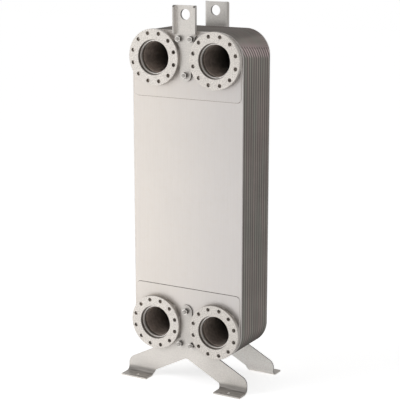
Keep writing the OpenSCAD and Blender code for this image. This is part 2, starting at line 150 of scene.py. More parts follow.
class Net:
    """Adds nodes to one shader tree. Each value is a number, a colour or another node's output."""

    def __init__(self, tree):
        self.tree = tree

    def plug(self, value, socket):
        """Links an output to a socket, or sets the socket to a plain value."""
        if isinstance(value, bpy.types.NodeSocket):
            self.tree.links.new(value, socket)
        else:
            socket.default_value = value

    def add(self, kind, plugs=None, **settings):
        """A node of a kind, with its settings and what goes into its sockets."""
        node = self.tree.nodes.new(kind)
        for key, value in settings.items():
            setattr(node, key, value)
        for key, value in (plugs or {}).items():
            self.plug(value, node.inputs[key])
        return node

    def math(self, operation, *values, clamp=False):
        """Result of a Math node."""
        node = self.add("ShaderNodeMath", dict(enumerate(values)), operation=operation)
        node.use_clamp = clamp
        return node.outputs[0]

    def all_of(self, operation, values):
        """One operation carried through a row of values."""
        return functools.reduce(lambda so_far, value: self.math(operation, so_far, value), values)

    def plus(self, *values):
        """Sum of values."""
        return self.all_of("ADD", values)

    def minus(self, first, second):
        """First less second."""
        return self.math("SUBTRACT", first, second)

    def times(self, *values):
        """Product of values."""
        return self.all_of("MULTIPLY", values)

    def size(self, value):
        """A value without its sign."""
        return self.math("ABSOLUTE", value)

    def both(self, *masks):
        """Where every mask holds: their product."""
        return self.times(*masks)

    def either(self, *masks):
        """Where any mask holds: the largest."""
        return self.all_of("MAXIMUM", masks)

    def outside(self, mask):
        """Where a mask doesn't hold."""
        return self.minus(1.0, mask)

    def ramp(self, value, low, high, to_low=0.0, to_high=1.0):
        """Smooth step from low to high, both ways round."""
        plugs = {"Value": value, "From Min": low, "From Max": high, "To Min": to_low, "To Max": to_high}
        return self.add("ShaderNodeMapRange", plugs, interpolation_type="SMOOTHSTEP").outputs["Result"]

    def spread(self, mask, low, high):
        """A mask's 0 to 1 laid over low to high."""
        return self.ramp(mask, 0.0, 1.0, low, high)

    def vary(self, noise, low=0.0, high=1.0):
        """Noise, most of which lies between 0.3 and 0.7, laid over low to high."""
        return self.ramp(noise, 0.3, 0.7, low, high)

    def blend(self, amount, first, second):
        """Colour that goes from first to second."""
        plugs = {"Factor": amount, COLOUR_IN[0]: first, COLOUR_IN[1]: second}
        return self.add("ShaderNodeMix", plugs, data_type="RGBA").outputs[COLOUR_OUT]

    def shade(self, colour, factor):
        """Colour times a grey factor."""
        grey = self.add("ShaderNodeCombineColor", {0: factor, 1: factor, 2: factor}).outputs[0]
        plugs = {"Factor": 1.0, COLOUR_IN[0]: colour, COLOUR_IN[1]: grey}
        node = self.add("ShaderNodeMix", plugs, data_type="RGBA", blend_type="MULTIPLY")
        return node.outputs[COLOUR_OUT]

    def vector(self, x, y, z):
        """A vector of three values."""
        return self.add("ShaderNodeCombineXYZ", {0: x, 1: y, 2: z}).outputs[0]

    def place(self):
        """Place on the object, then the same as x, y and z in metres."""
        coords = self.add("ShaderNodeTexCoord").outputs["Object"]
        return (coords, *self.add("ShaderNodeSeparateXYZ", {0: coords}).outputs)

    def facing(self):
        """The surface's own direction as x, y and z."""
        normal = self.add("ShaderNodeTexCoord").outputs["Normal"]
        return self.add("ShaderNodeSeparateXYZ", {0: normal}).outputs

    def off_middle(self, z):
        """Height above or below the middle of the body."""
        return self.size(self.minus(z, BODY_MIDDLE))

    def upper_half(self, z, low=0.0, high=1.0):
        """Low in the body's lower half and high in its upper one."""
        return self.ramp(z, BODY_MIDDLE - HALVES_MEET, BODY_MIDDLE + HALVES_MEET, low, high)

    def lower_half(self, z, low=0.0, high=1.0):
        """Low in the body's upper half and high in its lower one."""
        return self.ramp(z, BODY_MIDDLE + HALVES_MEET, BODY_MIDDLE - HALVES_MEET, low, high)

    def right_side(self, x, low, high):
        """Low on the body's left side and high on its right one."""
        return self.ramp(x, -SIDES_MEET, SIDES_MEET, low, high)

    def to_body(self, y, ny):
        """Where a bracket in front of or behind the body faces the body."""
        return self.ramp(self.times(ny, self.math("SIGN", y)), -0.4, -0.8)

    def clouds(self, vector, scale=1.0, detail=3.0, rough=0.6):
        """Soft noise."""
        plugs = {"Vector": vector, "Scale": scale, "Detail": detail, "Roughness": rough}
        return self.add("ShaderNodeTexNoise", plugs).outputs["Fac"]

    def use(self, effect, **values):
        """Places an effect with its own values."""
        node = self.add("ShaderNodeGroup", node_tree=effect)
        for key, value in values.items():
            self.plug(value, node.inputs[key.replace("_", " ")])
        return node.outputs


def effect(name, inputs, outputs):
    """An empty node group with float inputs and named outputs, its net, and its two ends."""
    tree = bpy.data.node_groups.new(name, "ShaderNodeTree")
    for label, value in inputs.items():
        socket = tree.interface.new_socket(label, in_out="INPUT", socket_type="NodeSocketFloat")
        socket.default_value = value
    for label, kind in outputs.items():
        tree.interface.new_socket(label, in_out="OUTPUT", socket_type="NodeSocket" + kind)
    net = Net(tree)
    return tree, net, net.add("NodeGroupInput").outputs, net.add("NodeGroupOutput").inputs


# ---------------------------------------------------------------- effects shared by the finishes

def make_rolling_grain():
    """Streaks left by rolling: noise that is fine across the sheet and long along it."""
    inputs = {"Across": 500.0, "Along X": 0.0, "Length": 9.0}
    tree, net, given, out = effect("rolling_grain", inputs, {"Streak": "Float"})
    _, x, y, z = net.place()
    fine_x, fine_y, fine_z = (net.times(value, given["Across"]) for value in (x, y, z))
    long_x, long_z = (net.times(value, given["Length"]) for value in (x, z))
    upright = net.vector(fine_x, fine_y, long_z)
    level = net.vector(long_x, fine_y, fine_z)
    plugs = {"Factor": given["Along X"], VECTOR_IN[0]: upright, VECTOR_IN[1]: level}
    chosen = net.add("ShaderNodeMix", plugs, data_type="VECTOR").outputs[VECTOR_OUT]
    net.plug(net.clouds(chosen), out["Streak"])
    return tree


def make_blasting():
    """Bead blasting: fine grains of light and dark over small pits."""
    outputs = {"Speckle": "Float", "Pits": "Float"}
    tree, net, given, out = effect("blasting", {"Grain": 420.0}, outputs)
    coords = net.place()[0]
    coarse = net.clouds(coords, given["Grain"], rough=0.65)
    fine = net.clouds(coords, net.times(given["Grain"], 2.7), detail=2.0)
    net.plug(net.vary(coarse), out["Speckle"])
    net.plug(net.plus(net.times(coarse, 0.4), net.times(fine, 0.6)), out["Pits"])
    return tree


def make_handling():
    """Marks of handling: broad soft patches, with a few wiped strokes that lean over."""
    outputs = {"Smudge": "Float", "Wipe": "Float"}
    tree, net, given, out = effect("handling", {"Patch": 7.0, "Stroke": 26.0}, outputs)
    coords = net.place()[0]
    turned = {"Vector": coords, "Rotation": (0.3, 0.6, 0.2), "Scale": (1.0, 1.0, 0.16)}
    leaning = net.add("ShaderNodeMapping", turned).outputs[0]
    patches = net.clouds(coords, given["Patch"])
    strokes = net.clouds(leaning, given["Stroke"], detail=2.0, rough=0.55)
    net.plug(net.ramp(patches, 0.32, 0.7), out["Smudge"])
    net.plug(net.ramp(strokes, 0.55, 0.75), out["Wipe"])
    return tree


def make_worn_edge():
    """Wear along edges: where the direction rounded over a small radius leaves the flat one."""
    outputs = {"Wear": "Float", "Soft Normal": "Vector"}
    tree, net, given, out = effect("worn_edge", {"Radius": 0.0008, "Strength": 3.0}, outputs)
    soft = net.add("ShaderNodeBevel", {"Radius": given["Radius"]}, samples=6).outputs[0]
    flat = net.add("ShaderNodeNewGeometry").outputs["True Normal"]
    along = net.add("ShaderNodeVectorMath", {0: soft, 1: flat}, operation="DOT_PRODUCT").outputs["Value"]
    lost = net.math("MULTIPLY", net.outside(along), given["Strength"], clamp=True)
    broken = net.ramp(net.clouds(net.place()[0], 160.0), 0.35, 0.65, 0.4, 1.0)
    net.plug(net.both(lost, broken), out["Wear"])
    net.plug(soft, out["Soft Normal"])
    return tree


def make_port_distance():
    """Distance from the axis of the nearest port and the turn round it, by folding the body into
    one quarter."""
    tree, net, _, out = effect("port_distance", {}, {"Radius": "Float", "Turn": "Float"})
    _, x, _, z = net.place()
    dx = net.minus(net.size(x), PORT_X)
    dz = net.minus(net.off_middle(z), PORT_Z)
    square = net.plus(net.times(dx, dx), net.times(dz, dz))
    net.plug(net.math("SQRT", square), out["Radius"])
    net.plug(net.math("ARCTAN2", dz, dx), out["Turn"])
    return tree


def make_heat_tint():
    """Straw and brown oxide beside a weld or braze, which fades over a width."""
    inputs = {"Distance": 0.0, "Width": 0.012}
    tree, net, given, out = effect("heat_tint", inputs, {"Tint": "Color", "Amount": "Float"})
    part = net.math("DIVIDE", given["Distance"], given["Width"], clamp=True)
    mottle = net.clouds(net.place()[0], 55.0)
    shifted = net.math("ADD", part, net.times(net.minus(mottle, 0.5), 0.5), clamp=True)
    straw, brown = display(201, 176, 132), display(120, 92, 76)
    net.plug(net.blend(net.ramp(shifted, 0.15, 0.7), brown, straw), out["Tint"])
    net.plug(net.math("SUBTRACT", 1.0, shifted, clamp=True), out["Amount"])
    return tree


rolling_grain = make_rolling_grain()
blasting = make_blasting()
handling = make_handling()
worn_edge = make_worn_edge()
port_distance = make_port_distance()
heat_tint = make_heat_tint()


# ---------------------------------------------------------------- finishes

# A mask's limits are places in metres, shares of a direction or angles in radians, and two that
# lie close together make a soft edge. Tones are factors of a colour.

def finish(name, metallic, roughness):
    """A Principled material, its shader and its net."""
    material = bpy.data.materials.new(name)
    material.use_nodes = True
    shader = material.node_tree.nodes["Principled BSDF"]
    shader.inputs["Metallic"].default_value = metallic
    shader.inputs["Roughness"].default_value = roughness
    return material, shader, Net(material.node_tree)


def raise_surface(net, shader, height, depth, normal=None, strength=1.0):
    """Small relief of a given depth in metres."""
    plugs = {"Height": height, "Distance": depth, "Strength": strength}
    if normal is not None:
        plugs["Normal"] = normal
    net.plug(net.add("ShaderNodeBump", plugs).outputs[0], shader.inputs["Normal"])


def rolled_sheet(name, cut_edge, rounding):
    """Smooth rolled stainless with faint upright grain, browned where the tubes are brazed in.
    Painted shade makes it a little darker low down, towards the right side and at the reinforced
    ends, where a slight tint goes with it, and dark where it closes the ports. cut_edge says how
    dark its level and its upright cut edges are, partly as painted shade, rounding how far its
    edges look rounded over."""
    cut_colour, worn_colour = display(106, 100, 95), display(232, 228, 222)
    port_floor_colour = display(66, 58, 54)
    material, shader, net = finish(name, metallic=0.45, roughness=0.4)
    _, x, y, z = net.place()
    nx, ny, nz = net.facing()
    streak = net.use(rolling_grain, Across=430.0, Length=7.0)["Streak"]
    marks = net.use(handling, Patch=5.0, Stroke=22.0)
    edge = net.use(worn_edge, Radius=0.0008)
    radius = net.use(port_distance)["Radius"]
    heat = net.use(heat_tint, Distance=net.minus(radius, TUBE_RADIUS), Width=0.022)
    tone = net.plus(net.vary(streak, 0.985, 1.01), net.spread(marks["Smudge"], -0.012, 0.012))
    # Painted shade: a little darker low down.
    low_down = net.ramp(z, BODY_MIDDLE + 0.05, BODY_MIDDLE - REINFORCED_FROM, 0.0, 0.035)
    tone = net.minus(tone, low_down)
    # Painted shade with a slight tint at the reinforced ends, and painted shade towards the right side.
    ends = net.ramp(net.off_middle(z), REINFORCED_FROM - 0.001, REINFORCED_FROM + 0.001)
    aside = net.ramp(x, -BODY_HALF_WIDTH, BODY_HALF_WIDTH)
    open_sheet = net.blend(aside, display(227, 220, 213), display(218, 213, 210))
    reinforced_end = net.blend(aside, display(226, 219, 212), display(215, 210, 207))
    colour = net.shade(net.blend(ends, open_sheet, reinforced_end), tone)
    # Painted shade: dark where the sheet closes the far ends of the ports.
    port_floor = net.both(
        net.ramp(radius, BORE_RADIUS + 0.001, BORE_RADIUS),
        net.ramp(y, 0.0, 0.01),
        net.ramp(ny, -0.4, -0.8),
    )
    colour = net.blend(port_floor, colour, port_floor_colour)
    colour = net.blend(net.both(heat["Amount"], net.ramp(y, 0.0, -0.01), 0.4), colour, heat["Tint"])
    # Dark cut edges; on those that face up or down the dark is partly painted shade.
    level_cut = net.both(net.ramp(net.size(nz), 0.4, 0.8), cut_edge[0])
    upright_cut = net.both(net.ramp(net.size(nx), 0.4, 0.8), cut_edge[1])
    colour = net.blend(net.either(level_cut, upright_cut), colour, cut_colour)
    colour = net.blend(net.both(edge["Wear"], 0.3), colour, worn_colour)
    net.plug(colour, shader.inputs["Base Color"])
    rough = net.plus(net.spread(marks["Smudge"], 0.36, 0.45), net.spread(marks["Wipe"], 0.0, -0.05))
    net.plug(rough, shader.inputs["Roughness"])
    rounded = net.use(worn_edge, Radius=rounding)["Soft Normal"]
    raise_surface(net, shader, streak, depth=0.00002, normal=rounded, strength=0.6)
    return material


def blasted_flange():
    """Flanges: blasted faces over faint lathe rings and a turned rim. Painted shade darkens the rim, the
    bore and the bolt holes, the lower flanges a little, more on the right, and the tops of the rims,
    most on the lower flanges."""
    ring_pitch = 0.0009
    face_colour, worn_colour = display(231, 225, 218), display(236, 232, 227)
    bore_colour, hole_colour = display(112, 105, 99), display(168, 161, 153)
    rim_colour, rim_top_colour = display(142, 135, 128), display(98, 90, 83)
    material, shader, net = finish("blasted_flange", metallic=0.45, roughness=0.5)
    _, x, _, z = net.place()
    _, ny, nz = net.facing()
    blast = net.use(blasting, Grain=260.0)
    marks = net.use(handling, Patch=14.0, Stroke=40.0)
    edge = net.use(worn_edge, Radius=0.0009)
    radius = net.use(port_distance)["Radius"]
    flat = net.ramp(net.size(ny), 0.5, 0.8)
    round_side = net.outside(flat)
    rings = net.math("SINE", net.times(radius, 2 * math.pi / ring_pitch))
    tone = net.plus(net.spread(blast["Speckle"], 0.82, 1.14), net.spread(marks["Smudge"], -0.02, 0.02))
    # Painted shade: the lower flanges a little darker, more on the right.
    lower_flange_shade = net.both(net.lower_half(z), net.right_side(x, 0.04, 0.1))
    colour = net.shade(face_colour, net.minus(tone, lower_flange_shade))
    # Painted shade in the bore, the bolt holes and on the rim, darkest on the rims' tops.
    bore = net.both(net.ramp(radius, TUBE_RADIUS + 0.0022, TUBE_RADIUS + 0.0012), round_side)
    colour = net.blend(bore, colour, bore_colour)
    off_circle = net.size(net.minus(radius, BOLT_CIRCLE_RADIUS))
    hole = net.both(net.ramp(off_circle, BOLT_HOLE_RADIUS + 0.0014, BOLT_HOLE_RADIUS + 0.0004), round_side)
    colour = net.blend(net.both(hole, 0.85), colour, hole_colour)
    rim = net.both(net.ramp(radius, FLANGE_RADIUS - 0.002, FLANGE_RADIUS - 0.0008), round_side)
    colour = net.blend(net.both(rim, 0.6), colour, rim_colour)
    rim_top = net.both(rim, net.ramp(nz, 0.75, 0.95), net.lower_half(z, 0.2, 0.6))
    colour = net.blend(rim_top, colour, rim_top_colour)
    colour = net.blend(net.both(edge["Wear"], 0.5), colour, worn_colour)
    net.plug(colour, shader.inputs["Base Color"])
    rough = net.plus(net.spread(blast["Speckle"], 0.47, 0.56), net.times(rim, -0.12))
    net.plug(rough, shader.inputs["Roughness"])
    relief = net.plus(net.times(blast["Pits"], 0.8), net.times(rings, flat, 0.12))
    raise_surface(net, shader, relief, depth=0.00006, normal=edge["Soft Normal"], strength=0.7)
    return material


def drawn_tube():
    """Port tubes: bright faced end and lip, brown bore with lengthwise drawing lines."""
    end_colour, bore_colour = display(248, 244, 239), display(140, 130, 122)
    lip_from, lip_to = 0.0040 - TUBE_END, 0.0075 - TUBE_END
    round_scale, length_scale = 30.0, 25.0
    material, shader, net = finish("drawn_tube", metallic=0.5, roughness=0.42)
    _, _, y, _ = net.place()
    _, ny, _ = net.facing()
    port = net.use(port_distance)
    round_port, lengthwise = net.times(port["Turn"], round_scale), net.times(y, length_scale)
    lines = net.clouds(net.vector(round_port, lengthwise, 0.0))
    grain = net.use(blasting, Grain=600.0)["Speckle"]
    faced = net.shade(end_colour, net.spread(grain, 0.92, 1.05))
    drawn = net.shade(bore_colour, net.vary(lines, 0.8, 1.15))
    inside = net.both(
        net.ramp(port["Radius"], BORE_RADIUS + 0.0012, BORE_RADIUS + 0.0004),
        net.ramp(net.size(ny), 0.7, 0.4),
        net.ramp(y, lip_from, lip_to),
    )
    net.plug(net.blend(inside, faced, drawn), shader.inputs["Base Color"])
    net.plug(net.vary(lines, 0.36, 0.5), shader.inputs["Roughness"])
    raise_surface(net, shader, lines, depth=0.00005)
    return material


def plates_in_ports(net, coords, x, y, upper):
    """Where the ports cut the plates, and the brown of their cut edges, with painted shade that darkens
    it further in and in the right-hand ports, painted light near the front, and a little lighter low
    down in the upper ports."""
    port = net.use(port_distance)
    in_port = net.ramp(port["Radius"], BORE_RADIUS + 0.0045, BORE_RADIUS + 0.0035)
    rust = net.clouds(coords, 90.0)
    brown = net.blend(net.vary(rust), display(216, 204, 195), display(190, 178, 169))
    # Painted light near the ports' mouths, painted shade further in and in the right-hand ports.
    first_plates = net.ramp(y, PACK_LOW.y, PACK_LOW.y + 0.07, 1.12, 1.05)
    deep = net.ramp(y, PACK_LOW.y * 0.6, PACK_HIGH.y * 0.8, 1.0, 0.12)
    worn = net.both(net.ramp(net.math("SINE", port["Turn"]), -0.3, -0.9, 0.0, 0.3), upper)
    depth = net.times(first_plates, deep)
    tone = net.times(depth, net.plus(1.0, worn), net.right_side(x, 1.0, 0.9))
    return in_port, net.shade(brown, tone)


def furnace_brazed_plates():
    """The nested skirts: dark satin plate edges with thin light lines where plates catch the light. At
    the upper corners the lines lean over where the plates start to turn, in a painted highlight band,
    end in a row of beads, and give way to a plain painted sheen and a dark top that is painted shade;
    the lower corners only darken, as painted shade. Inside the ports the edges are brown."""
    line_pitch, line_lean, dash_pitch = 0.0154, 0.015, 0.0075
    slant, lean_from, lean_over = 0.105, 0.002, 0.032
    plate_scale, tint_scale = (350.0, 1.5), (60.0, 3.0)
    cool_colour, warm_colour = display(116, 114, 108), display(120, 111, 107)
    band_colour = display(126, 110, 112)
    straight_up = BODY_HALF_HEIGHT - CORNER_RADIUS
    material, shader, net = finish("furnace_brazed_plates", metallic=0.6, roughness=0.45)
    coords, x, y, z = net.place()
    upper = net.upper_half(z)
    lower = net.outside(upper)

    # Turn round a corner in radians, and height above its start in metres. The slanted height
    # grows towards the rear.
    across = net.either(net.minus(net.size(x), BODY_HALF_WIDTH - CORNER_RADIUS), 0.0001)
    height = net.minus(net.off_middle(z), straight_up)
    turn = net.math("ARCTAN2", net.either(height, 0.0), across)
    slanted = net.plus(height, net.times(y, slant))

    # Light lines, one every pitch, uneven in strength.
    lean = net.both(net.math("DIVIDE", net.minus(slanted, lean_from), lean_over, clamp=True), upper)
    along = net.math("DIVIDE", net.plus(y, net.times(lean, line_lean)), line_pitch)
    wave = net.math("SINE", net.times(along, 2 * math.pi))
    uneven = net.clouds(net.vector(along, net.times(z, 0.6), 0.0), 1.7, detail=2.0)
    lit = net.both(net.ramp(wave, -0.4, 0.95, -0.5, 1.0), net.ramp(uneven, 0.3, 0.65, 0.35, 1.35))
    above_middle = net.minus(z, BODY_MIDDLE)
    near_top = net.ramp(above_middle, 0.25, straight_up, 0.42, 0.68)
    below_beads = net.outside(net.both(upper, net.ramp(slanted, 0.0275, 0.031)))
    fading = net.outside(net.both(lower, net.ramp(turn, 0.1, 0.8, 0.0, 0.8)))
    # Painted highlight: a lighter, pinker band with stronger lines where the upper corners start to turn.
    band = net.both(net.ramp(slanted, -0.002, 0.012), net.ramp(slanted, 0.055, 0.034), upper)
    contrast = net.plus(1.0, net.both(band, 0.9))
    tone = net.plus(
        1.0,
        net.both(lit, near_top, below_beads, fading, contrast),
        net.both(band, 0.36),
        # Painted highlight: a little lighter high up.
        net.ramp(above_middle, 0.31, 0.42, 0.0, 0.1),
    )

    # The row of beads, the dashes along the rear edge, the single plates and the sheen.
    beads = net.both(net.ramp(slanted, 0.0285, 0.0310), net.ramp(slanted, 0.0370, 0.0345), upper)
    tone = net.minus(tone, net.both(beads, net.ramp(wave, -0.3, 0.3, 0.75, -0.35)))
    dashes = net.math("SINE", net.times(turn, 2 * math.pi * CORNER_RADIUS / dash_pitch))
    rear_edge = net.ramp(y, PACK_HIGH.y - 0.020, PACK_HIGH.y - 0.008)
    rear_edge = net.both(rear_edge, net.ramp(turn, 0.25, 0.4), upper)
    plates = net.vector(net.times(y, plate_scale[0]), 0.0, net.times(z, plate_scale[1]))
    plates = net.clouds(plates, detail=1.0, rough=0.5)
    # Painted highlight: the sheen on the turn of the upper corners.
    sheen = net.both(net.ramp(turn, 0.35, 0.5), net.ramp(turn, 0.95, 0.75), upper)
    tone = net.plus(
        tone,
        net.both(dashes, rear_edge, 0.35),
        net.both(net.minus(plates, 0.5), net.ramp(turn, 0.8, 1.2, 0.3, 1.1)),
        net.both(sheen, 0.18),
    )
    # Painted shade: a dark top and darker lower corners.
    tone = net.minus(tone, net.both(net.ramp(turn, 0.75, 1.05, 0.0, 0.24), upper))
    tone = net.minus(tone, net.both(net.ramp(turn, 0.0, 0.8, 0.0, 0.5), lower))
    smudge = net.use(handling, Patch=9.0, Stroke=30.0)["Smudge"]
    tone = net.plus(tone, net.spread(smudge, -0.05, 0.05))
    tints = net.vector(net.times(y, tint_scale[0]), 0.0, net.times(z, tint_scale[1]))
    tints = net.clouds(tints, detail=2.0, rough=0.5)
    colour = net.blend(net.ramp(tints, 0.35, 0.65), cool_colour, warm_colour)
    colour = net.blend(net.both(band, 0.5), colour, band_colour)
    colour = net.shade(colour, tone)
    in_port, brown = plates_in_ports(net, coords, x, y, upper)
    net.plug(net.blend(in_port, colour, brown), shader.inputs["Base Color"])
    net.plug(net.vary(plates, 0.4, 0.5), shader.inputs["Roughness"])
    raise_surface(net, shader, net.clouds(coords, 700.0, detail=2.0), depth=0.00004)
    return material


def folded_sheet(name, inner_face, cut_mask, outer_darkening, top_shade_mask=None, painted_shade_mask=None):
    """Folded sheet: lightly blasted faces, paler inside as painted light and darker outside in given
    places, with dark cut edges, partly painted shade, and where given painted shade on its upper
    faces, with scuffs, and on its inner faces."""
    face_colour, worn_colour = display(227, 222, 216), display(233, 229, 224)
    cut_colour, painted_shade_colour = display(92, 88, 83), display(112, 107, 100)
    top_shade_colour = display(159, 154, 149)
    material, shader, net = finish(name, metallic=0.45, roughness=0.44)
    place, facing = net.place(), net.facing()
    coords, x, y, z = place
    _, ny, nz = facing
    blast = net.use(blasting, Grain=300.0)
    streak = net.use(rolling_grain, Across=380.0, Along_X=1.0, Length=10.0)["Streak"]
    marks = net.use(handling, Patch=11.0, Stroke=34.0)
    edge = net.use(worn_edge, Radius=0.0010)
    inner = net.to_body(y, ny)
    tone = net.plus(
        net.spread(blast["Speckle"], 0.92, 1.06),
        net.vary(streak, -0.015, 0.015),
        net.spread(marks["Smudge"], -0.02, 0.02),
    )
    # Darkening of outer faces: painted shade on the feet, and darker down the lugs' tongues.
    tone = net.minus(tone, net.both(outer_darkening(net, place), net.outside(inner)))
    # Painted light: inner faces paler.
    colour = net.shade(net.blend(inner, face_colour, inner_face), tone)
    # Painted shade on inner faces, given per part.
    if painted_shade_mask:
        colour = net.blend(painted_shade_mask(net, place, facing), colour, painted_shade_colour)
    if top_shade_mask:
        # Painted shade on the upper faces, darkest at the fold's root, over scuff streaks.
        scuff_scale = (16.0, 140.0, 260.0)
        brushed = net.clouds(net.vector(*map(net.times, (x, y, z), scuff_scale)))
        root = net.both(net.ramp(nz, 0.995, 0.96), net.ramp(nz, 0.6, 0.85))
        scuffed = net.minus(net.vary(brushed, 0.8, 1.25), net.ramp(nz, 0.995, 0.96, 0.0, 0.28))
        dull = net.shade(top_shade_colour, net.minus(scuffed, net.both(root, 0.16)))
        colour = net.blend(top_shade_mask(net, place, facing), colour, dull)
    burr = net.clouds(coords, 220.0)
    cut = net.both(cut_mask(net, place, facing), 0.9)
    colour = net.blend(cut, colour, net.shade(cut_colour, net.vary(burr, 0.8, 1.2)))
    colour = net.blend(net.both(edge["Wear"], 0.3), colour, worn_colour)
    net.plug(colour, shader.inputs["Base Color"])
    net.plug(net.spread(blast["Speckle"], 0.4, 0.5), shader.inputs["Roughness"])
    raise_surface(net, shader, blast["Pits"], depth=0.00005, normal=edge["Soft Normal"], strength=0.6)
    return material


def lug_cut_and_shade(net, place, facing):
    """Dark cut edges of a lug: the rounded tops of its lips; the lifting hole and the edge of its
    tongue, partly painted shade; and, more faintly and as painted shade, the outer sides of its lips
    and the inner part of one lip's front edge."""
    _, x, y, z = place
    nx, ny, nz = facing
    lip_inside = LUG_HALF_WIDTH - LUG_SHEET
    aside = net.size(x)
    thin = net.ramp(net.size(ny), 0.6, 0.3)
    lip = net.ramp(aside, lip_inside - 0.0015, lip_inside + 0.0005)
    lip_top = net.both(lip, net.ramp(nz, 0.1, 0.3), net.ramp(z, LUG_HIGH.z - 0.012, LUG_HIGH.z - 0.010))
    # Painted shade on the outer sides of the lips.
    lip_side = net.both(
        net.ramp(net.size(nx), 0.5, 0.8),
        net.ramp(aside, LUG_HALF_WIDTH - 0.003, LUG_HALF_WIDTH - 0.001),
        net.ramp(z, LUG_FOLD_END, LUG_FOLD_END + 0.004),
        0.45,
    )
    # Painted shade on the inner part of the left lip's front edge.
    lip_face = net.both(
        net.ramp(x, 0.002 - LUG_HALF_WIDTH, 0.006 - LUG_HALF_WIDTH, 0.15, 0.65),
        net.ramp(x, 0.0, -0.01),
        lip,
        net.ramp(net.size(y), LIP_EDGE_FROM - 0.0005, LIP_EDGE_FROM + 0.0005),
        net.ramp(ny, -0.5, -0.8),
    )
    # Tongue edge and lifting hole: dark cut edges, partly painted shade.
    tongue = net.both(thin, net.ramp(z, LUG_FOLD_END - 0.001, LUG_FOLD_END - 0.004))
    dz = net.minus(z, LIFTING_HOLE_Z)
    away = net.math("SQRT", net.plus(net.times(x, x), net.times(dz, dz)))
    hole = net.both(thin, net.ramp(away, LIFTING_HOLE_RADIUS + 0.002, LIFTING_HOLE_RADIUS + 0.001))
    return net.either(lip_top, lip_side, lip_face, tongue, hole)


def lug_darkening(net, place):
    """How much darker a lug's outer face is made: more down its tongue."""
    _, _, _, z = place
    return net.ramp(z, LUG_FOLD_END + 0.01, LUG_FOLD_END - 0.04, 0.03, 0.07)


def lug_inner_painted_shade(net, place, facing):
    """Painted shade on a lug's inner face, darker towards the body."""
    _, _, y, z = place
    near_body = net.ramp(z, BODY_HIGH.z + 0.026, BODY_HIGH.z - 0.002, 0.0, 0.37)
    return net.both(net.to_body(y, facing[1]), near_body)


def foot_painted_shade(net, place):
    """Painted shade on a foot's outer face: where it runs up between the ports, and along one leg."""
    _, x, y, z = place
    leg_side = net.ramp(net.times(x, net.math("SIGN", y)), -0.03, -0.12)
    one_leg = net.both(leg_side, net.ramp(z, 0.14, 0.10), 0.12)
    return net.plus(net.ramp(z, 0.10, 0.17, 0.0, 0.15), one_leg)


def foot_cut(net, place, facing):
    """Cut edges of a foot bracket: all that faces neither along the body nor up or down a pad."""
    _, _, _, z = place
    nx, ny, _ = facing
    sideways = net.ramp(net.size(nx), 0.3, 0.5)
    above_fold = net.ramp(z, FOOT_FOLD_HEIGHT - 0.001, FOOT_FOLD_HEIGHT + 0.002)
    thin = net.both(net.ramp(net.size(ny), 0.6, 0.3), above_fold)
    return net.both(net.either(sideways, thin), net.ramp(z, 0.0035, 0.012, 0.45, 1.0))


def foot_top_shade(net, place, facing):
    """The upper face of a foot and its fold: painted shade in dull grey with scuffs, fading up the leg."""
    _, _, y, z = place
    _, ny, nz = facing
    outward = net.ramp(net.times(ny, net.math("SIGN", y)), -0.2, 0.2)
    in_fold = net.ramp(z, FOOT_FOLD_HEIGHT + 0.002, FOOT_FOLD_HEIGHT - 0.004)
    up_leg = net.ramp(z, FOOT_FOLD_HEIGHT + 0.009, FOOT_FOLD_HEIGHT - 0.006, 0.0, 0.95)
    above_pad = net.ramp(z, FOOT_FOLD_FROM - 0.0002, FOOT_FOLD_FROM + 0.0002)
    upper = net.both(net.ramp(nz, 0.15, 0.7), in_fold)
    return net.either(upper, net.both(outward, up_leg, above_pad))


def foot_inner_painted_shade(net, place, facing):
    """Painted shade low down on the inner face of a foot."""
    _, _, y, z = place
    return net.both(net.to_body(y, facing[1]), net.ramp(z, 0.040, 0.010, 0.0, 0.15))


def turned_steel(name, face, side):
    """Studs, washers and nuts: bright steel with turning marks, with painted light on their end faces
    and painted shade on their sides.
    """
    worn_colour = display(226, 223, 218)
    turning_scale = 2600.0
    material, shader, net = finish(name, metallic=0.75, roughness=0.32)
    coords, _, y, _ = net.place()
    _, ny, _ = net.facing()
    edge = net.use(worn_edge, Radius=0.0006, Strength=2.5)
    fine = net.clouds(coords, 900.0)
    turned = net.clouds(net.vector(net.times(y, turning_scale), 0.0, 0.0), detail=2.0)
    end = net.ramp(net.size(ny), 0.4, 0.8)
    colour = net.shade(net.blend(end, side, face), net.vary(fine, 0.88, 1.06))
    colour = net.blend(net.both(edge["Wear"], 0.35), colour, worn_colour)
    net.plug(colour, shader.inputs["Base Color"])
    net.plug(net.vary(fine, 0.26, 0.4), shader.inputs["Roughness"])
    raise_surface(net, shader, turned, depth=0.00003, normal=edge["Soft Normal"], strength=0.6)
    return material


def weld_metal(name, clean, burnt):
    """Weld beads: satin ripples, clean metal with heat colours in places, in given colours, which for
    the beads inside the flanges are darkened as painted shade.
    """
    material, shader, net = finish(name, metallic=0.6, roughness=0.38)
    coords = net.place()[0]
    mottle = net.clouds(coords, 75.0)
    colour = net.blend(net.ramp(mottle, 0.45, 0.75), clean, burnt)
    colour = net.shade(colour, net.vary(net.clouds(coords, 800.0, detail=2.0), 0.9, 1.06))
    net.plug(colour, shader.inputs["Base Color"])
    net.plug(net.vary(mottle, 0.3, 0.44), shader.inputs["Roughness"])
    raise_surface(net, shader, net.clouds(coords, 1200.0, detail=2.0), depth=0.00003)
    return material


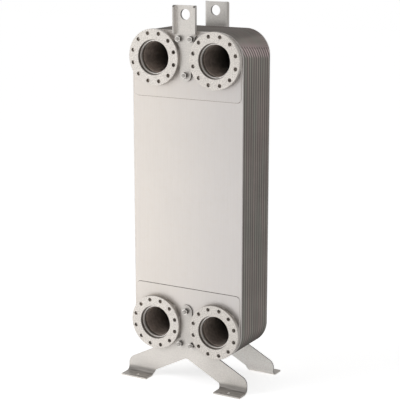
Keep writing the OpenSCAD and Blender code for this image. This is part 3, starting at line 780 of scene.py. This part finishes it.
def braze_seam():
    """The brazed seam round a reinforcement plate: a painted shadow line along the plate's inner edge,
    darker on the lower plates, and as light as the sheet elsewhere."""
    sheet_colour = display(213, 208, 203)
    lower_shadow_line, upper_shadow_line = display(86, 78, 72), display(132, 112, 102)
    material, shader, net = finish("braze_seam", metallic=0.45, roughness=0.5)
    coords, _, _, z = net.place()
    from_inner_edge = net.minus(net.off_middle(z), REINFORCED_FROM)
    upper = net.ramp(z, BODY_MIDDLE - 0.01, BODY_MIDDLE + 0.01)
    mottle = net.clouds(coords, 60.0)
    line = net.shade(net.blend(upper, lower_shadow_line, upper_shadow_line), net.vary(mottle, 0.8, 1.2))
    # Painted shadow along the plate's inner edge.
    colour = net.blend(net.ramp(from_inner_edge, 0.006, 0.0015), sheet_colour, line)
    net.plug(colour, shader.inputs["Base Color"])
    net.plug(net.vary(mottle, 0.42, 0.56), shader.inputs["Roughness"])
    return material


def dress(names, material):
    """Gives CAD nodes a finish through their material slots."""
    for name in names:
        slots = nodes[name].material_slots
        if not slots:
            nodes[name].data.materials.append(material)
        for slot in slots:
            slot.material = material


def nodes_with(word):
    """Names of the CAD nodes that hold a word."""
    return [name for name in nodes if word in name]


# Lighter end faces and darker sides: painted light and painted shade, strongest on the nuts.
stud_steel = turned_steel("stud_steel", face=display(176, 172, 167), side=display(160, 156, 151))
washer_steel = turned_steel("washer_steel", face=display(196, 192, 187), side=display(120, 116, 111))
nut_steel = turned_steel("nut_steel", face=display(236, 232, 227), side=display(100, 96, 92))
outer_weld = weld_metal("outer_weld", clean=display(238, 234, 229), burnt=display(204, 194, 182))
# The beads inside the flanges are much darker: painted shade of the groove they lie in, over burnt weld.
inner_weld = weld_metal("inner_weld", clean=display(138, 131, 124), burnt=display(112, 103, 95))
seam = braze_seam()
# Inner faces paler than the outer ones: painted light, strong on the feet.
lug_inside, foot_inside_painted_light = display(228, 224, 219), display(255, 251, 246)
lug_sheet = folded_sheet("folded_lug_sheet", lug_inside, lug_cut_and_shade, lug_darkening, painted_shade_mask=lug_inner_painted_shade)
foot_sheet = folded_sheet("folded_foot_sheet", foot_inside_painted_light, foot_cut, foot_painted_shade, foot_top_shade, foot_inner_painted_shade)

dress(nodes_with("cover"), rolled_sheet("cover_sheet", cut_edge=(0.95, 0.4), rounding=0.004))
dress(nodes_with("reinforcement"), rolled_sheet("reinforcement_sheet", cut_edge=(0.5, 0.0), rounding=0.0012))
dress(nodes_with("flange"), blasted_flange())
dress(nodes_with("port_tube"), drawn_tube())
dress(nodes_with("channel_plate_pack"), furnace_brazed_plates())
dress(nodes_with("lug"), lug_sheet)
dress(nodes_with("bracket"), foot_sheet)
dress(nodes_with("studs"), stud_steel)
dress(nodes_with("washers"), washer_steel)
dress(nodes_with("nuts"), nut_steel)


# ---------------------------------------------------------------- shapes

def closed_sheet(grid, capped=False):
    """Points, quads and triangles of grid[i, j, 3]. The second parameter closes on itself. The
    first closes on itself too, or with capped its two end rows are closed by a fan."""
    m, n = grid.shape[:2]
    i, j = np.meshgrid(np.arange(m - 1 if capped else m), np.arange(n), indexing="ij")
    after_i, after_j = (i + 1) % m, (j + 1) % n
    quads = np.stack([i * n + j, after_i * n + j, after_i * n + after_j, i * n + after_j], -1).reshape(-1, 4)
    points = grid.reshape(-1, 3)
    fans = np.empty((0, 3), int)
    if capped:
        first, last = np.arange(n), np.arange(n) + (m - 1) * n
        points = np.vstack([points, grid[0].mean(0), grid[-1].mean(0)])
        fans = np.vstack([
            np.stack([first, np.roll(first, -1), np.full(n, m * n)], -1),
            np.stack([np.roll(last, -1), last, np.full(n, m * n + 1)], -1),
        ])
    corners = points[np.vstack([quads[:, :3], quads[:, [0, 2, 3]], fans])]
    volume = np.einsum("ij,ij->", corners[:, 0], np.cross(corners[:, 1], corners[:, 2]))
    if volume < 0:
        quads, fans = quads[:, ::-1], fans[:, ::-1]
    return points, quads, fans


def piece(name, shells, material, stands_for=None):
    """One object on the root body from several closed shells."""
    starts = np.cumsum([0] + [len(points) for points, _, _ in shells[:-1]])
    points = np.vstack([shell[0] for shell in shells])
    quads = np.vstack([shell[1] + start for shell, start in zip(shells, starts)])
    fans = np.vstack([shell[2] + start for shell, start in zip(shells, starts)])
    mesh = bpy.data.meshes.new(name)
    mesh.from_pydata(points.tolist(), [], quads.tolist() + fans.tolist())
    mesh.polygons.foreach_set("use_smooth", np.ones(len(mesh.polygons), bool))
    mesh.materials.append(material)
    obj = bpy.data.objects.new(name, mesh)
    bpy.context.scene.collection.objects.link(obj)
    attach(obj, "root")
    if stands_for:
        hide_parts(stands_for)
    return obj


def threaded_stud(x, z, foot, tip, side, radius=0.00595, pitch=0.00175, depth=0.00092):
    """A stud along Y from distance foot to distance tip. Its radius is the crest less depth times
    a wave of the distance in pitches less the angle in turns, which makes a helix with flat
    crests; the outer end runs down a cone."""
    rows_a_pitch, points_round = 9, 28
    flank, crest_flat, cone = 1.3, 0.15, 0.0012
    rows = int(round((tip - foot) / pitch * rows_a_pitch))
    s = np.linspace(0, 1, rows)[:, None] * (tip - foot)
    turn = np.linspace(0, 2 * np.pi, points_round, endpoint=False)[None, :]
    wave = np.abs(2 * ((s / pitch - turn / (2 * np.pi)) % 1) - 1)
    r = radius - depth * np.clip(flank * wave - crest_flat, 0, 1)
    r = np.minimum(r, radius - cone + (tip - foot - s))
    grid = np.stack([
        x + r * np.cos(turn),
        side * (foot + s) + 0 * turn,
        z + r * np.sin(turn),
    ], -1)
    return closed_sheet(grid, capped=True)


def weld_ring(centre, ring, distance, size, flat=1.0, lap=0.0026):
    """A bead round a tube: a circle of radius ring at a distance in front of the body, swept by a
    round section whose size swells in crescents, one every lap, that trail at the section's
    sides, and slowly varies on the way round."""
    rows_a_lap, points_round, trail = 6, 12, 1.6
    least, by_lap, slowly = 0.9, 0.14, 0.05
    count = int(round(2 * np.pi * ring / lap))
    u = np.linspace(0, 2 * np.pi, count * rows_a_lap, endpoint=False)[:, None]
    v = np.linspace(0, 2 * np.pi, points_round, endpoint=False)[None, :]
    crescent = np.abs(np.sin(0.5 * (count * u + trail * np.cos(v - 0.8))))
    swell = size * (least + by_lap * crescent + slowly * np.sin(5 * u + 1.0) * np.sin(3 * u))
    r = ring + swell * np.cos(v)
    grid = np.stack([
        centre.x + r * np.cos(u),
        -(distance + flat * swell * np.sin(v)),
        centre.z + r * np.sin(u),
    ], -1)
    return closed_sheet(grid)


def rounded_outline(low, high, radii, step=0.004):
    """Points and outward directions round a rectangle in x and z. radii are the corners' radii
    from the lower left one, anticlockwise. Each corner is an arc of its radius, each side a row
    of points a step apart."""
    points, outward = [], []
    signs = ((-1, -1), (1, -1), (1, 1), (-1, 1))
    centres = [
        ((low.x + r) if sx < 0 else (high.x - r), (low.z + r) if sz < 0 else (high.z - r))
        for (sx, sz), r in zip(signs, radii)
    ]
    for k, (centre, r) in enumerate(zip(centres, radii)):
        a = np.radians(180 + 90 * k + np.linspace(0, 90, max(4, int(r * np.pi / 2 / step)) + 1))
        arc = np.stack([np.cos(a), np.sin(a)], -1)
        points.append(np.array(centre) + r * arc)
        outward.append(arc)
        start = points[-1][-1]
        other, other_r = centres[(k + 1) % 4], radii[(k + 1) % 4]
        end = np.array(other) + other_r * arc[-1]
        t = np.linspace(0, 1, max(2, int(np.linalg.norm(end - start) / step)))[1:-1, None]
        points.append(start + (end - start) * t)
        outward.append(np.repeat(arc[-1:], len(t), 0))
    return np.vstack(points), np.vstack(outward)


def seam_bead(node, side, inner_size=0.0013, outer_size=0.0017, fade=0.01, uneven=0.12):
    """A fillet that follows a reinforcement plate's outline in the corner between plate and cover:
    a round section carried along the outline, of one size along the inner edge and another
    elsewhere, which swells unevenly by the product of two waves."""
    points_round, waves = 8, (23, 57)
    low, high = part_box(node)
    upper = (low.z + high.z) / 2 > BODY_MIDDLE
    outer, inner = CORNER_RADIUS - (BODY_HALF_WIDTH - high.x), REINFORCEMENT_CORNER
    radii = (inner, inner, outer, outer) if upper else (outer, outer, inner, inner)
    line, outward = rounded_outline(low, high, radii)
    t = np.linspace(0, 2 * np.pi, len(line), endpoint=False)[:, None]
    v = np.linspace(0, 2 * np.pi, points_round, endpoint=False)[None, :]
    inner_z = low.z if upper else high.z
    at_inner = np.clip(1 - np.abs(line[:, 1:] - inner_z) / fade, 0, 1)
    size = outer_size + (inner_size - outer_size) * at_inner
    r = size * (1 + uneven * np.sin(waves[0] * t) * np.sin(waves[1] * t)) + 0 * v
    grid = np.stack([
        line[:, :1] + outward[:, :1] * r * np.cos(v),
        side * (COVER_FACE + r * np.sin(v)),
        line[:, 1:] + outward[:, 1:] * r * np.cos(v),
    ], -1)
    return closed_sheet(grid)


for end in BODY_ENDS:
    side = -1 if end.startswith("front") else 1
    low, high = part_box(end + "_studs")
    near, far = sorted((abs(low.y), abs(high.y)))
    top, bottom = high.z - STUD_RADIUS, low.z + STUD_RADIUS
    paired_z, single_z = (top, bottom) if "upper" in end else (bottom, top)
    studs = [
        threaded_stud(0.0, single_z, near, far, side),
        threaded_stud(low.x + STUD_RADIUS, paired_z, near, far, side),
        threaded_stud(high.x - STUD_RADIUS, paired_z, near, far, side),
    ]
    piece(end + "_threaded_studs", studs, stud_steel, end + "_studs")

for port in PORTS:
    centre = middle(port + "_flange")
    at_panel = weld_ring(centre, ring=TUBE_RADIUS + 0.0008, distance=PANEL_FACE + 0.0006, size=0.0034)
    in_flange = weld_ring(
        centre, ring=TUBE_RADIUS - 0.0006, distance=TUBE_END - 0.0002, size=0.0019, flat=0.8)
    piece(port + "_tube_weld", [at_panel], outer_weld)
    piece(port + "_flange_weld", [in_flange], inner_weld)

for end in BODY_ENDS:
    side = -1 if end.startswith("front") else 1
    bead = seam_bead(end + "_reinforcement_plate", side)
    piece(end + "_braze_seam", [bead], seam)


# ---------------------------------------------------------------- floor and light

WHITE = (1, 1, 1, 1)
FLOOR_PAINT = (0.9, 0.9, 0.9, 1)
FLOOR_LIFT = 0.66


def seen_directly(net):
    """1 for a ray from the camera, a mirror or glass, else 0."""
    path = net.add("ShaderNodeLightPath").outputs
    return net.either(path["Is Camera Ray"], path["Is Glossy Ray"], path["Is Transmission Ray"])


def pale_floor():
    """A matt pale floor that shows as white and keeps soft shadows."""
    material, shader, net = finish("pale_floor", metallic=0.0, roughness=0.95)
    shader.inputs["Base Color"].default_value = FLOOR_PAINT
    shader.inputs["Specular IOR Level"].default_value = 0.0
    glow = net.add("ShaderNodeEmission", {"Color": WHITE, "Strength": FLOOR_LIFT}).outputs[0]
    lifted = net.add("ShaderNodeAddShader", {0: shader.outputs[0], 1: glow}).outputs[0]
    plugs = {0: seen_directly(net), 1: shader.outputs[0], 2: lifted}
    shown = net.add("ShaderNodeMixShader", plugs).outputs[0]
    net.plug(shown, material.node_tree.nodes["Material Output"].inputs[0])
    return material


def floor_sheet(half, low=-0.0003):
    """The floor, a level square a hair below the feet."""
    mesh = bpy.data.meshes.new("floor")
    corners = [(-half, -half, low), (half, -half, low), (half, half, low), (-half, half, low)]
    mesh.from_pydata(corners, [], [(0, 1, 2, 3)])
    mesh.materials.append(pale_floor())
    obj = bpy.data.objects.new("floor", mesh)
    bpy.context.scene.collection.objects.link(obj)


def studio_world(level):
    """An even pale surround: white where it is seen, softer as light."""
    world = bpy.data.worlds.new("studio")
    bpy.context.scene.world = world
    world.use_nodes = True
    world.node_tree.nodes.clear()
    net = Net(world.node_tree)
    seen = net.add("ShaderNodeBackground", {"Color": WHITE, "Strength": 1.0}).outputs[0]
    lit = net.add("ShaderNodeBackground", {"Color": WHITE, "Strength": level}).outputs[0]
    mixed = net.add("ShaderNodeMixShader", {0: seen_directly(net), 1: lit, 2: seen}).outputs[0]
    net.plug(mixed, net.add("ShaderNodeOutputWorld").inputs["Surface"])


def softbox(name, place, size, power, target=(0, 0, 0.65)):
    """A square soft lamp that isn't mirrored in the metal."""
    lamp = bpy.data.lights.new(name, "AREA")
    lamp.shape = "SQUARE"
    lamp.size = size
    lamp.energy = power
    obj = bpy.data.objects.new(name, lamp)
    obj.location = place
    obj.rotation_mode = "QUATERNION"
    obj.rotation_quaternion = (Vector(target) - Vector(place)).to_track_quat("-Z", "Y")
    obj.visible_glossy = False
    bpy.context.scene.collection.objects.link(obj)


floor_sheet(half=12)
studio_world(level=0.38)
softbox("key_softbox", place=(-1.3, -1.3, 0.8), size=1.2, power=18)
softbox("fill_softbox", place=(1.6, -3.2, 0.7), size=2.4, power=2)

bpy.context.scene.view_settings.view_transform = "Standard"
